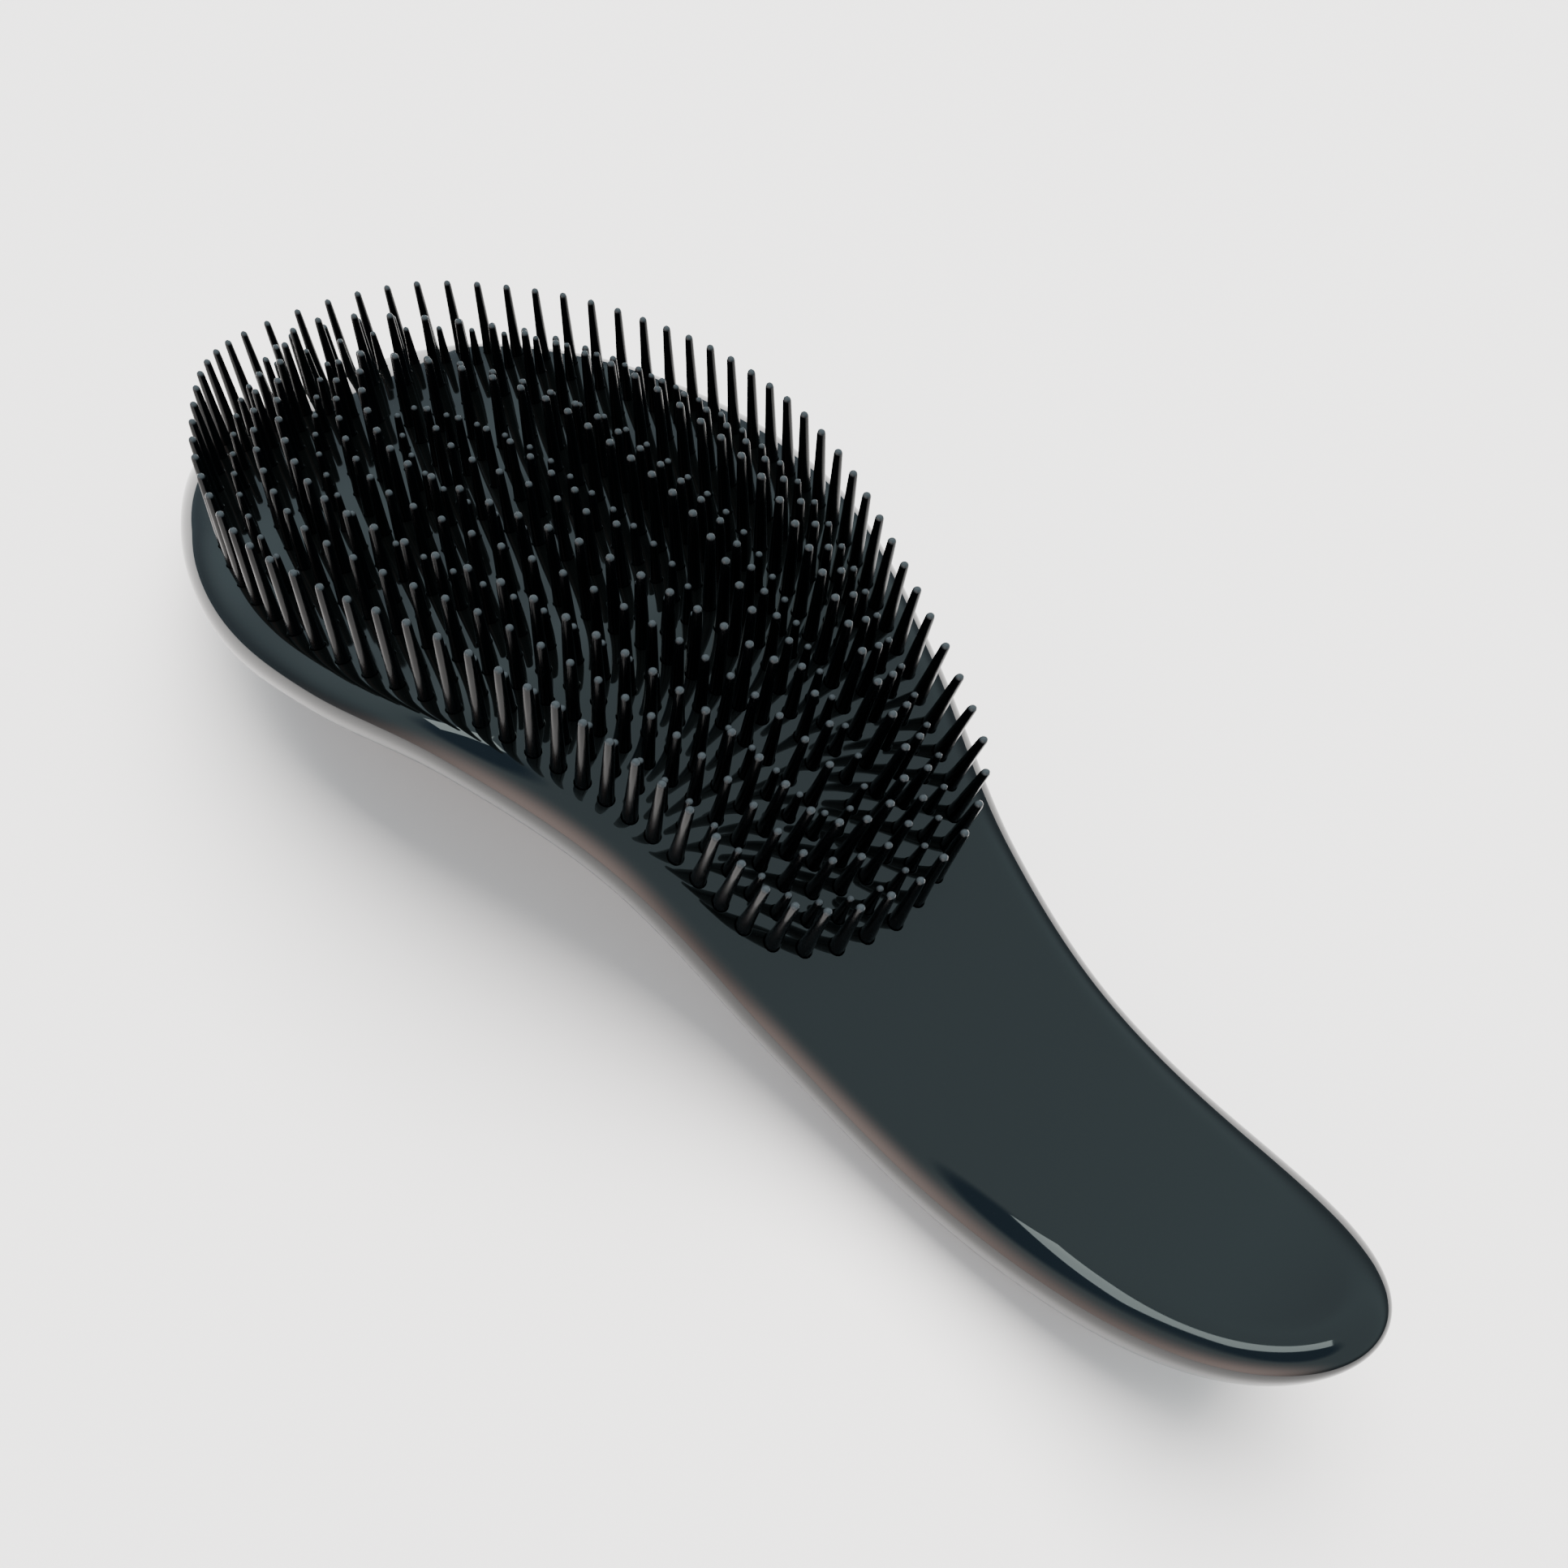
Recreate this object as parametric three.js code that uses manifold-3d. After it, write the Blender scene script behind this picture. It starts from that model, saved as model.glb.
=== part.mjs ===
// Detangling hair brush: a glossy S-curved front body, a domed back shell that
// closes it, and one nylon bristle mat whose pins pass through the front face.
// Millimetres, +Z up. The brush is modelled along X (handle end at x = 0, head at
// x = LENGTH) with its pins parallel to +Z, then laid down on its back.

import * as THREE from 'three';
import { mergeGeometries, mergeVertices } from 'three/addons/utils/BufferGeometryUtils.js';
import Module from 'manifold-3d';

const wasm = await Module();
wasm.setup();

// ---------------------------------------------------------------- driving sizes
const LENGTH = 185;               // handle end to head end, in plan
const MAX_WIDTH = 68;             // across the widest part of the head
// Fullness of the plan outline at even stations along the brush. The half width is
// half MAX_WIDTH times this, times a circle factor that rounds off both ends.
const PLAN_FULLNESS = [0.824, 0.632, 0.556, 0.566, 0.659, 0.82, 0.979, 1.09, 1.111, 1.042, 0.918];
// Height of the face along the brush at the same stations: the handle end flicks
// up, the grip dips, the neck rises and the head falls away to its end.
const FACE_HEIGHTS = [12.4, 1.2, -2.6, 2, 11.9, 14.5, 9.7, 3.9, -0.6, -6.9, -19.7];

const RIM_REACH = 4.2;            // how far in the rounded rim reaches before the face
const RIM_HEIGHT = 3.2;           // face to the widest line of the rim
const GRIP_DEPTH = 8.6;           // widest line down to the back, under the grip
const HEAD_DEPTH = 10.6;          // the same under the head
const BACK_ROUNDNESS = 2;       // 2 is an ellipse in section, less is a softer edge
const GRIP_SPINE_START = 14;      // the crown of the back starts this far from the end
const HEAD_SPINE_END = 28;        // and stops this far from the head end
const SEAM_DROP = 3;              // widest line down to the seam between the shells
const WALL = 1.8;                 // wall of both shells
const GAP = 0.3;                  // clearance between pieces that touch or mate
const FLAT_CUT = 0.35;            // how much the back is flattened where it rests

const LIP_WALL = 1.2;             // back shell's lip, inside the front body's wall
const LIP_ROOT = 1.5;             // lip's root below the seam
const LIP_BITE = 0.4;             // how far the lip's root sinks into the wall

const PEG_STATIONS = [24, 42];    // locating pegs in the grip, along the brush
const PEG_RADIUS = 1.5;
const PEG_ENGAGE = 2.6;           // peg above the seam
const BOSS_WALL = 1.4;            // round each peg
const POST_RADIUS = 2;            // posts on the back shell that hold the mat up
const POST_PLACES = [[82, 0], [104, 15], [104, -15], [128, 0], [146, 14], [146, -14]];

const MAT_THICKNESS = 1.4;
const MAT_GAP = 0.6;              // mat to the underside of the face
const MAT_MARGIN = 1.5;           // mat's neck end before the outer row of pins
const ROW_INSET = 5.1;            // outer row of pins from the outline
const NECK_ROW_PITCH = 2.8;       // row to row, where the head narrows to the neck
const HEAD_ROW_PITCH = 3.3;       // row to row, across the head
const FIELD_START = 56;           // neck end of the outer row
const END_ROW_PITCH = 2.4;        // row to row along the neck end
const END_ROUNDNESS = 0.65;       // length of a row's rounded end, as a share of its width
const NECK_PITCH = 2.75;          // pin to pin along a row at the neck
const HEAD_PITCH = 4.9;           // and in the head
const OUTER_PITCH = 4.4;          // closer in the head's outer row
const END_PITCH = 3.5;            // across the neck end of a row
const NECK_X = 78;                // the pitches change from neck to head
const HEAD_X = 114;               // between these two stations
const END_X = 66;                 // the end pitch has faded out by here
const MIN_SPACING = 2.1;          // no two pins stand closer than this
const HOLE_CLEARANCE = 0.3;       // round a pin, in the face
const PIN_LEAN = 0.4;             // pins lean along the brush by this share of the face's slope
// Rows repeat from the edge inwards: long, short, middle.
const PIN_TIERS = [
  { length: 10.25, foot: 0.8, tip: 0.48 },
  { length: 5.2, foot: 0.68, tip: 0.4 },
  { length: 8.3, foot: 0.75, tip: 0.45 },
];

// Resolution
const OUTLINE_STEPS = 26;
const RIM_STEPS = 2;
const FACE_STEPS = 3;
const BACK_STEPS = 4;
const CURVE_STEPS = 240;
const SLOPE_STEP = 0.05;
const PROFILE_STEPS = 40;
const PIN_SIDES = 4;
const ROUND_SIDES = 10;
const OVERHANG = 5;               // slabs run this far past both ends
const BEYOND = 60;                // and cutting solids this far past the brush elsewhere
const EMBED = 0.5;                // joined pieces sink this far into each other

// ---------------------------------------------------------------- the form
const lerp = THREE.MathUtils.lerp;
const smoothstep = THREE.MathUtils.smoothstep;

// Smooth curve through evenly spaced values (uniform Catmull-Rom), t from 0 to 1.
function through(values, t) {
  const last = values.length - 1;
  const first = 3 * (values[0] - values[1]) + values[2];
  const after = 3 * (values[last] - values[last - 1]) + values[last - 2];
  const padded = [first, ...values, after];
  const at = THREE.MathUtils.clamp(t, 0, 1) * last;
  const i = Math.min(Math.floor(at), last - 1);
  const u = at - i;
  const [a, b, c, d] = padded.slice(i, i + 4);
  const cubic = 3 * b - a - 3 * c + d;
  return 0.5 * (2 * b + (c - a) * u + (2 * a - 5 * b + 4 * c - d) * u * u + cubic * u ** 3);
}

const faceHeight = (x) => through(FACE_HEIGHTS, x / LENGTH);
const backDepth = (x) => lerp(GRIP_DEPTH, HEAD_DEPTH, smoothstep(x, 0, LENGTH));
const widestHeight = (x) => faceHeight(x) - RIM_HEIGHT;
const seamHeight = (x) => widestHeight(x) - SEAM_DROP;
const matTop = (x) => faceHeight(x) - WALL - MAT_GAP;
const matUnderside = (x) => matTop(x) - MAT_THICKNESS;

// Point of the outline for a turn from 0 (handle end) to PI (head end).
function outline(turn) {
  const x = LENGTH / 2 * (1 - Math.cos(turn));
  const y = MAX_WIDTH / 2 * Math.sin(turn) * through(PLAN_FULLNESS, x / LENGTH);
  return new THREE.Vector2(x, y);
}

// Point on the centre line that the section at x runs in to.
function spine(x) {
  const start = GRIP_SPINE_START * Math.exp(-x / GRIP_SPINE_START);
  const end = HEAD_SPINE_END * Math.exp(-(LENGTH - x) / HEAD_SPINE_END);
  return new THREE.Vector2(x + start - end, 0);
}

const halfWidth = (x) => outline(Math.acos(1 - 2 * x / LENGTH)).y;

// Depth of the back as a share of its deepest, `out` going from 0 at the crown to 1
// at the outline.
function backShape(out) {
  return Math.max(1 - Math.min(out, 1) ** BACK_ROUNDNESS, 0) ** (1 / BACK_ROUNDNESS);
}

// Height of the back at x before it is flattened, `across` from 0 at the crown.
function backHeight(x, across = 0) {
  const from = spine(0).x;
  const to = spine(LENGTH).x;
  const past = Math.max((from - x) / from, (x - to) / (LENGTH - to), 0);
  return widestHeight(x) - backDepth(x) * backShape(Math.max(past, across));
}

// ---------------------------------------------------------------- solids
function solid(geometry) {
  const bare = geometry.clone();
  bare.deleteAttribute('normal');
  bare.deleteAttribute('uv');
  const merged = mergeVertices(bare);
  return new wasm.Manifold(new wasm.Mesh({
    numProp: 3,
    vertProperties: new Float32Array(merged.attributes.position.array),
    triVerts: new Uint32Array(merged.index.array),
  }));
}

function geometryOf(manifold) {
  const mesh = manifold.getMesh();
  const geometry = new THREE.BufferGeometry();
  geometry.setAttribute('position', new THREE.BufferAttribute(mesh.vertProperties, 3));
  geometry.setIndex(new THREE.BufferAttribute(mesh.triVerts, 1));
  geometry.computeVertexNormals();
  return geometry;
}

// One section point: `along` mm in from the outline point towards the spine.
function inFrom(edge, centre, along) {
  return edge.clone().add(centre.clone().sub(edge).setLength(along));
}

// The whole body, or with an inset the same form shrunk by that much all round, save
// that its face may stay where it is.
function bodyForm(inset, faceInset = inset) {
  const rows = [];
  for (let i = 0; i <= OUTLINE_STEPS; i += 1) {
    const edge = outline(Math.PI * i / OUTLINE_STEPS);
    const centre = spine(edge.x);
    const reach = centre.distanceTo(edge);
    const row = [];
    const place = (along, rise) => {
      const p = along < reach ? inFrom(edge, centre, along) : centre.clone();
      row.push([p.x, p.y, widestHeight(p.x) + rise]);
    };
    for (let j = FACE_STEPS; j > 0; j -= 1) {
      place(lerp(RIM_REACH, reach, j / FACE_STEPS), RIM_HEIGHT - faceInset);
    }
    for (let j = RIM_STEPS; j >= 0; j -= 1) {
      const a = Math.PI / 2 * j / RIM_STEPS;
      place(inset + (RIM_REACH - inset) * (1 - Math.cos(a)), (RIM_HEIGHT - faceInset) * Math.sin(a));
    }
    for (let j = 1; j <= BACK_STEPS; j += 1) {
      const out = Math.cos(Math.PI / 2 * j / BACK_STEPS) ** (2 / BACK_ROUNDNESS);
      const along = j < BACK_STEPS ? lerp(reach, inset, out) : reach;
      place(along, -(backDepth(edge.x) - inset) * backShape(j < BACK_STEPS ? out : 0));
    }
    rows.push(row);
  }
  return solid(halfGrids(rows));
}

// Triangles over the rows of points and over their mirror image in y.
function halfGrids(rows) {
  const points = [];
  const quad = (a, b, c, d) => points.push(...a, ...b, ...c, ...a, ...c, ...d);
  const mirror = ([x, y, z]) => [x, -y, z];
  for (let i = 1; i < rows.length; i += 1) {
    for (let j = 1; j < rows[i].length; j += 1) {
      const corners = [rows[i - 1][j - 1], rows[i][j - 1], rows[i][j], rows[i - 1][j]];
      quad(...corners);
      quad(...corners.reverse().map(mirror));
    }
  }
  const geometry = new THREE.BufferGeometry();
  geometry.setAttribute('position', new THREE.Float32BufferAttribute(points, 3));
  return geometry;
}

// A slab across the whole brush between two height profiles along it.
function slab(lower, upper) {
  const shape = new THREE.Shape();
  const x = (i) => lerp(-OVERHANG, LENGTH + OVERHANG, i / PROFILE_STEPS);
  const within = (i) => THREE.MathUtils.clamp(x(i), 0, LENGTH);
  shape.moveTo(x(0), lower(within(0)));
  for (let i = 1; i <= PROFILE_STEPS; i += 1) {
    shape.lineTo(x(i), lower(within(i)));
  }
  for (let i = PROFILE_STEPS; i >= 0; i -= 1) {
    shape.lineTo(x(i), upper(within(i)));
  }
  const depth = MAX_WIDTH + BEYOND;
  const geometry = new THREE.ExtrudeGeometry(shape, { depth, bevelEnabled: false });
  geometry.translate(0, 0, -depth / 2);
  geometry.rotateX(Math.PI / 2);
  return solid(geometry);
}

// An upright round or many-sided post between two heights.
function upright([x, y], radius, from, to, sides = ROUND_SIDES, topRadius = radius) {
  const geometry = new THREE.CylinderGeometry(topRadius, radius, to - from, sides);
  geometry.rotateX(Math.PI / 2);
  geometry.translate(x, y, (from + to) / 2);
  return geometry;
}

// ---------------------------------------------------------------- rows of pins
const headShare = (x) => smoothstep(x, NECK_X, HEAD_X);
const rowPitch = (x) => lerp(NECK_ROW_PITCH, HEAD_ROW_PITCH, headShare(x));

function pinPitch(x, row) {
  const neck = lerp(END_PITCH, NECK_PITCH, smoothstep(x, FIELD_START, END_X));
  return lerp(neck, row === 0 ? OUTER_PITCH : HEAD_PITCH, headShare(x));
}

// One side (y > 0) of a closed row, from the neck end to the head end. `row` counts
// rows inwards from the outer one.
function rowSide(row) {
  const start = FIELD_START + row * END_ROW_PITCH;
  const side = [];
  for (let i = 1; i < CURVE_STEPS; i += 1) {
    const turn = Math.PI * i / CURVE_STEPS;
    const p = outline(turn);
    const ahead = outline(turn + Math.PI / CURVE_STEPS);
    const tangent = ahead.sub(p).normalize();
    const inset = ROW_INSET + row * rowPitch(p.x);
    p.add(new THREE.Vector2(tangent.y, -tangent.x).multiplyScalar(inset));
    if (p.x > start && p.y > 0) {
      side.push(p);
    } else if (side.length > 0) {
      break;
    }
  }
  if (side.length < 2) {
    return [];
  }
  const roundEnd = END_ROUNDNESS * side[0].y;
  for (const p of side) {
    const short = Math.max(0, 1 - (p.x - start) / roundEnd);
    p.y *= Math.sqrt(1 - short ** 2);
  }
  const first = side[0].x - start > NECK_ROW_PITCH ? side[0].x : start;
  return [new THREE.Vector2(first, 0), ...side, new THREE.Vector2(side.at(-1).x, 0)];
}

function pinPlaces() {
  const pins = [];
  for (let row = 0; rowSide(row).length > 0; row += 1) {
    const side = rowSide(row);
    const loop = [...side, ...side.slice(1, -1).reverse().map((p) => new THREE.Vector2(p.x, -p.y))];
    loop.push(side[0]);
    const steps = [0];
    for (let i = 1; i < loop.length; i += 1) {
      const middle = (loop[i].x + loop[i - 1].x) / 2;
      steps.push(steps[i - 1] + loop[i].distanceTo(loop[i - 1]) / pinPitch(middle, row));
    }
    const total = steps.at(-1);
    const count = 2 * Math.max(1, Math.round(total / 2));
    const stagger = row % 2 === 0 ? 0 : 0.5;
    for (let pin = 0; pin < count; pin += 1) {
      const target = (pin + stagger) / count * total;
      const i = Math.max(1, steps.findIndex((step) => step >= target));
      const share = (target - steps[i - 1]) / (steps[i] - steps[i - 1]);
      const place = loop[i - 1].clone().lerp(loop[i], share);
      if (pins.every((other) => other.place.distanceTo(place) >= MIN_SPACING)) {
        pins.push({ place, tier: PIN_TIERS[row % PIN_TIERS.length] });
      }
    }
  }
  return pins;
}

// A pin, or the hole for one, between two heights over the face. It fans out a little
// with the face it stands on.
function pinPost({ x, y }, radius, from, to, tipRadius = radius) {
  const rise = faceHeight(x + SLOPE_STEP) - faceHeight(x - SLOPE_STEP);
  const lean = -PIN_LEAN * rise / (2 * SLOPE_STEP);
  const post = upright([0, 0], radius, from, to, PIN_SIDES, tipRadius);
  post.applyMatrix4(new THREE.Matrix4().makeShear(0, 0, 0, 0, lean, 0));
  return post.translate(x, y, faceHeight(x));
}

// ---------------------------------------------------------------- the pieces
// Only the rows of long pins are solids here. The short and middle rows between them
// stand where pinPlaces puts them and are built the same way.
const pins = pinPlaces().filter(({ tier }) => tier === PIN_TIERS[0]);
const shells = bodyForm(0).subtract(bodyForm(WALL)).subtract(restPlane());
const always = (height) => () => height;
const aboveSeam = slab((x) => seamHeight(x) + GAP / 2, always(BEYOND));
const belowSeam = slab(always(-BEYOND), (x) => seamHeight(x) - GAP / 2);

function frontBody() {
  let body = shells.intersect(aboveSeam);
  for (const x of PEG_STATIONS) {
    const top = faceHeight(x) - WALL + EMBED;
    const foot = seamHeight(x) + GAP;
    const bore = PEG_RADIUS + GAP;
    body = body.add(solid(upright([x, 0], bore + BOSS_WALL, foot, top)));
    body = body.subtract(solid(upright([x, 0], bore, foot - EMBED, faceHeight(x) - WALL)));
  }
  const holes = pins.map(({ place, tier }) => {
    const radius = tier.foot + HOLE_CLEARANCE / Math.cos(Math.PI / PIN_SIDES);
    return pinPost(place, radius, -2 * WALL, WALL);
  });
  return body.subtract(solid(mergeGeometries(holes)));
}

// The mat lies under the face, a gap below it and a gap inside the front body's wall,
// and its pins stand up through the holes.
function bristleMat() {
  const headSide = new THREE.BoxGeometry(LENGTH, MAX_WIDTH + BEYOND, 2 * BEYOND);
  headSide.translate(FIELD_START - MAT_MARGIN + LENGTH / 2, 0, 0);
  const inside = bodyForm(WALL + GAP).intersect(solid(headSide));
  const plate = slab(matUnderside, matTop).intersect(inside);
  const uprights = pins.map(({ place, tier }) => {
    const root = matTop(place.x) - EMBED - faceHeight(place.x);
    return pinPost(place, tier.foot, root, tier.length, tier.tip);
  });
  return plate.add(solid(mergeGeometries(uprights)));
}

// The domed back: its lip slips inside the front body and stops a gap under the mat,
// its pegs enter the bosses and its posts hold the mat up against the face.
function backShell() {
  const underSeam = (drop) => (x) => seamHeight(x) - GAP / 2 - drop;
  const lipTop = (x) => matUnderside(x) - GAP;
  const root = bodyForm(WALL - LIP_BITE).intersect(slab(underSeam(LIP_ROOT), underSeam(0)));
  const rise = bodyForm(WALL + GAP).intersect(slab(underSeam(EMBED), lipTop));
  const hollow = bodyForm(WALL + GAP + LIP_WALL, 0);
  let shell = shells.intersect(belowSeam).add(root.add(rise).subtract(hollow));
  for (const x of PEG_STATIONS) {
    const foot = backHeight(x) + WALL / 2;
    shell = shell.add(solid(upright([x, 0], PEG_RADIUS, foot, seamHeight(x) + PEG_ENGAGE)));
  }
  for (const [x, y] of POST_PLACES) {
    const floor = backHeight(x, Math.abs(y) / halfWidth(x));
    const top = Math.min(matUnderside(x - POST_RADIUS), matUnderside(x + POST_RADIUS)) - GAP;
    shell = shell.add(solid(upright([x, y], POST_RADIUS, floor + WALL / 2, top)));
  }
  return shell;
}

// The line that the brush lies on: the longest edge of the lower hull of its back.
function restLine() {
  const hull = [];
  const turnsUp = (a, b, c) => (b.x - a.x) * (c.y - a.y) > (b.y - a.y) * (c.x - a.x);
  for (let i = 0; i <= CURVE_STEPS; i += 1) {
    const x = LENGTH * i / CURVE_STEPS;
    const p = new THREE.Vector2(x, backHeight(x));
    while (hull.length > 1 && !turnsUp(hull.at(-2), hull.at(-1), p)) {
      hull.pop();
    }
    hull.push(p);
  }
  const edges = hull.slice(1).map((p, i) => [hull[i], p]);
  return edges.reduce((best, edge) => (span(edge) > span(best) ? edge : best));
}

function span([from, to]) {
  return from.distanceTo(to);
}

// Everything below the flats that the brush rests on.
function restPlane() {
  const [from, to] = restLine();
  const size = 2 * LENGTH;
  const block = new THREE.BoxGeometry(size, size, size);
  block.translate(0, 0, -size / 2);
  block.rotateY(-Math.atan2(to.y - from.y, to.x - from.x));
  block.translate(from.x, 0, from.y + FLAT_CUT);
  return solid(block);
}

// ---------------------------------------------------------------- the brush
const glossBlack = { color: 0x0a0d0f, roughness: 0.08, metalness: 0 };
const nylonBlack = { color: 0x07090c, roughness: 0.22, metalness: 0 };

function piece(name, manifold, finish) {
  const mesh = new THREE.Mesh(geometryOf(manifold), new THREE.MeshStandardMaterial(finish));
  mesh.name = name;
  return mesh;
}

const [restFrom, restTo] = restLine();
const lying = new THREE.Group();
lying.add(
  piece('front_body', frontBody(), glossBlack),
  piece('bristle_mat', bristleMat(), nylonBlack),
  piece('back_shell', backShell(), glossBlack),
);
// Laid down on its back, with the flats level, and centred over the origin.
lying.rotation.y = Math.atan2(restTo.y - restFrom.y, restTo.x - restFrom.x);
const brush = new THREE.Group();
brush.add(lying);
const box = new THREE.Box3().setFromObject(brush, true);
const middle = box.getCenter(new THREE.Vector3());
lying.position.set(-middle.x, 0, -box.min.z);

export default brush;
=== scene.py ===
# %% [markdown]
# # A detangling hair brush
# The brush lies on its back on a pale table. Its body is two thin shells of black ABS,
# a face with a rounded rim and a domed back, moulded so smooth that they mirror the
# room. Behind the face lies one nylon mat, and its pins stand up through the face.
# This lesson builds the shells by extruding their outline ring by ring, models one
# pin of each length, and copies it along rows that follow the edge of the head.

# %% Load the fixed frame
import math

import bmesh
import bpy
from mathutils import Matrix, Vector


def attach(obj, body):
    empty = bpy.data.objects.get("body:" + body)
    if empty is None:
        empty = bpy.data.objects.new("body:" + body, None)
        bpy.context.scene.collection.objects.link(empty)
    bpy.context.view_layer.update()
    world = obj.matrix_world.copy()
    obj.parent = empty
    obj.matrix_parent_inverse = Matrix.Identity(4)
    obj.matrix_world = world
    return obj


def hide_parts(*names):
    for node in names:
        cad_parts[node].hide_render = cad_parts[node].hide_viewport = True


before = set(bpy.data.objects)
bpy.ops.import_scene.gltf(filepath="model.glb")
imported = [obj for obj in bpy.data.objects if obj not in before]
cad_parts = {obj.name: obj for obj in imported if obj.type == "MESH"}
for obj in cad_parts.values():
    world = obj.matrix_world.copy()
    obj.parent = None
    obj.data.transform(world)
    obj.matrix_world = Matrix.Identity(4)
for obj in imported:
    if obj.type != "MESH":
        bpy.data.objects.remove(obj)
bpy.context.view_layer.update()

MM = 0.001

# %% [markdown]
# ## The camera
# The brush is seen from close by, from its near side and above the handle end, with the
# camera tipped a little. A short lens that close makes the handle look long and the
# head look small, so the place and the lens matter as much as the direction.

# %% Camera
CAMERA_PLACE = Vector((-90.97, 64.4, 143.28)) * MM
CAMERA_AHEAD = Vector((0.46316, -0.419, -0.78081))
CAMERA_RIGHT = Vector((-0.65028, -0.76, 0.02245))
LENS_MM = 34.48
SENSOR_MM = 36
CLIP_START = 0.01


def place_camera():
    ahead = CAMERA_AHEAD.normalized()
    up = CAMERA_RIGHT.cross(ahead).normalized()
    right = ahead.cross(up)
    turn = Matrix((right, up, -ahead)).transposed().to_4x4()
    bpy.ops.object.camera_add()
    camera = bpy.context.object
    camera.matrix_world = Matrix.Translation(CAMERA_PLACE) @ turn
    camera.data.lens = LENS_MM
    camera.data.sensor_width = SENSOR_MM
    camera.data.clip_start = CLIP_START
    bpy.context.scene.camera = camera
    return camera


camera = place_camera()
print("camera looks along", [round(v, 3) for v in -camera.matrix_world.col[2].xyz])

# %% [markdown]
# ## The shape of the brush
# Two curves say everything. The plan gives the half width at each place along the
# brush: narrow at the waist, broad at the head. The face height gives the S seen from
# the side. Both are smooth curves through a few values, so the mirror finish has no
# kinks to show. The same numbers shape the solids that this model is built around.

# %% Sizes of the body, in millimetres
LENGTH = 185
MAX_WIDTH = 68
PLAN_FULLNESS = [0.824, 0.632, 0.556, 0.566, 0.659, 0.82, 0.979, 1.09, 1.111, 1.042, 0.918]
FACE_HEIGHTS = [12.4, 1.2, -2.6, 2, 11.9, 14.5, 9.7, 3.9, -0.6, -6.9, -19.7]
RIM_REACH = 4.2
RIM_HEIGHT = 3.2
GRIP_DEPTH = 8.6
HEAD_DEPTH = 10.6
BACK_ROUNDNESS = 2
GRIP_SPINE_START = 14
HEAD_SPINE_END = 28
SEAM_DROP = 3
WALL = 1.8
GAP = 0.3
LIP_WALL = 1.2
LIP_RISE = 1.0
MAT_THICKNESS = 1.4
MAT_GAP = 0.6


# %% The curves
def mix(a, b, share):
    return a + (b - a) * share


def ease(x, start, end):
    t = min(max((x - start) / (end - start), 0), 1)
    return t * t * (3 - 2 * t)


def through(values, t):
    """A smooth curve through evenly spaced values, t from 0 to 1."""
    last = len(values) - 1
    before = 3 * (values[0] - values[1]) + values[2]
    after = 3 * (values[last] - values[last - 1]) + values[last - 2]
    padded = [before, *values, after]
    at = min(max(t, 0), 1) * last
    i = min(int(at), last - 1)
    u = at - i
    a, b, c, d = padded[i:i + 4]
    cubic = 3 * b - a - 3 * c + d
    return 0.5 * (2 * b + (c - a) * u + (2 * a - 5 * b + 4 * c - d) * u * u + cubic * u ** 3)


def face_height(x):
    return through(FACE_HEIGHTS, x / LENGTH)


def widest_height(x):
    return face_height(x) - RIM_HEIGHT


def back_depth(x):
    return mix(GRIP_DEPTH, HEAD_DEPTH, ease(x, 0, LENGTH))


def outline(turn):
    """Point of the plan outline, turn from 0 at the handle end to pi at the head end."""
    x = LENGTH / 2 * (1 - math.cos(turn))
    y = MAX_WIDTH / 2 * math.sin(turn) * through(PLAN_FULLNESS, x / LENGTH)
    return Vector((x, y))


def spine(x):
    """Point of the centre line that the section at x runs in to."""
    start = GRIP_SPINE_START * math.exp(-x / GRIP_SPINE_START)
    end = HEAD_SPINE_END * math.exp(-(LENGTH - x) / HEAD_SPINE_END)
    return Vector((x + start - end, 0))


QUARTER_TURN = math.pi / 2
print("half width at mid length", round(outline(QUARTER_TURN).y, 1), "mm")

# %% [markdown]
# ## How the brush lies
# The curves are drawn with the pins straight up. On a table the brush tips until it
# touches at the grip and at the end of the head. The turn is small, and it is applied
# to the meshes, so every finished piece keeps its origin at the centre of the world.

# %% Laying a piece down
LEAN = -0.071732976
LAID = Matrix.Translation(Vector((-92.753067, 0, 11.698159)) * MM) @ Matrix.Rotation(LEAN, 4, "Y")


def lay_down(piece):
    piece.data.transform(LAID @ Matrix.Scale(MM, 4))
    piece.data.update()
    return piece


# %% [markdown]
# ## Small helpers for modelling
# Every operator works on what is selected, so each step starts from nothing selected.
# A ring of points remembers its turn round the outline in a point attribute. When the
# ring is extruded the new points inherit it, and each ring can be put exactly where
# the section of the shell wants it.

# %% Helpers
def deselect():
    if bpy.context.mode != "OBJECT":
        bpy.ops.object.mode_set(mode="OBJECT")
    bpy.ops.object.select_all(action="DESELECT")


def only(piece):
    deselect()
    piece.select_set(True)
    bpy.context.view_layer.objects.active = piece


def apply_modifier(piece, kind, **settings):
    only(piece)
    modifier = piece.modifiers.new(kind.lower(), kind)
    for name, value in settings.items():
        setattr(modifier, name, value)
    bpy.ops.object.modifier_apply(modifier=modifier.name)


def finish_mesh(piece, merge_mm=0.004, smooth_degrees=38):
    """Merges doubled points, turns faces outwards and shades the piece smooth."""
    only(piece)
    bpy.ops.object.mode_set(mode="EDIT")
    bpy.ops.mesh.select_all(action="SELECT")
    bpy.ops.mesh.remove_doubles(threshold=merge_mm)
    bpy.ops.mesh.dissolve_degenerate(threshold=merge_mm / 2)
    bpy.ops.mesh.select_all(action="SELECT")
    bpy.ops.mesh.normals_make_consistent(inside=False)
    bpy.ops.object.mode_set(mode="OBJECT")
    bpy.ops.object.shade_smooth_by_angle(angle=math.radians(smooth_degrees))


RING_POINTS = 360  # round the outline, in every ring of both shells


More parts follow.
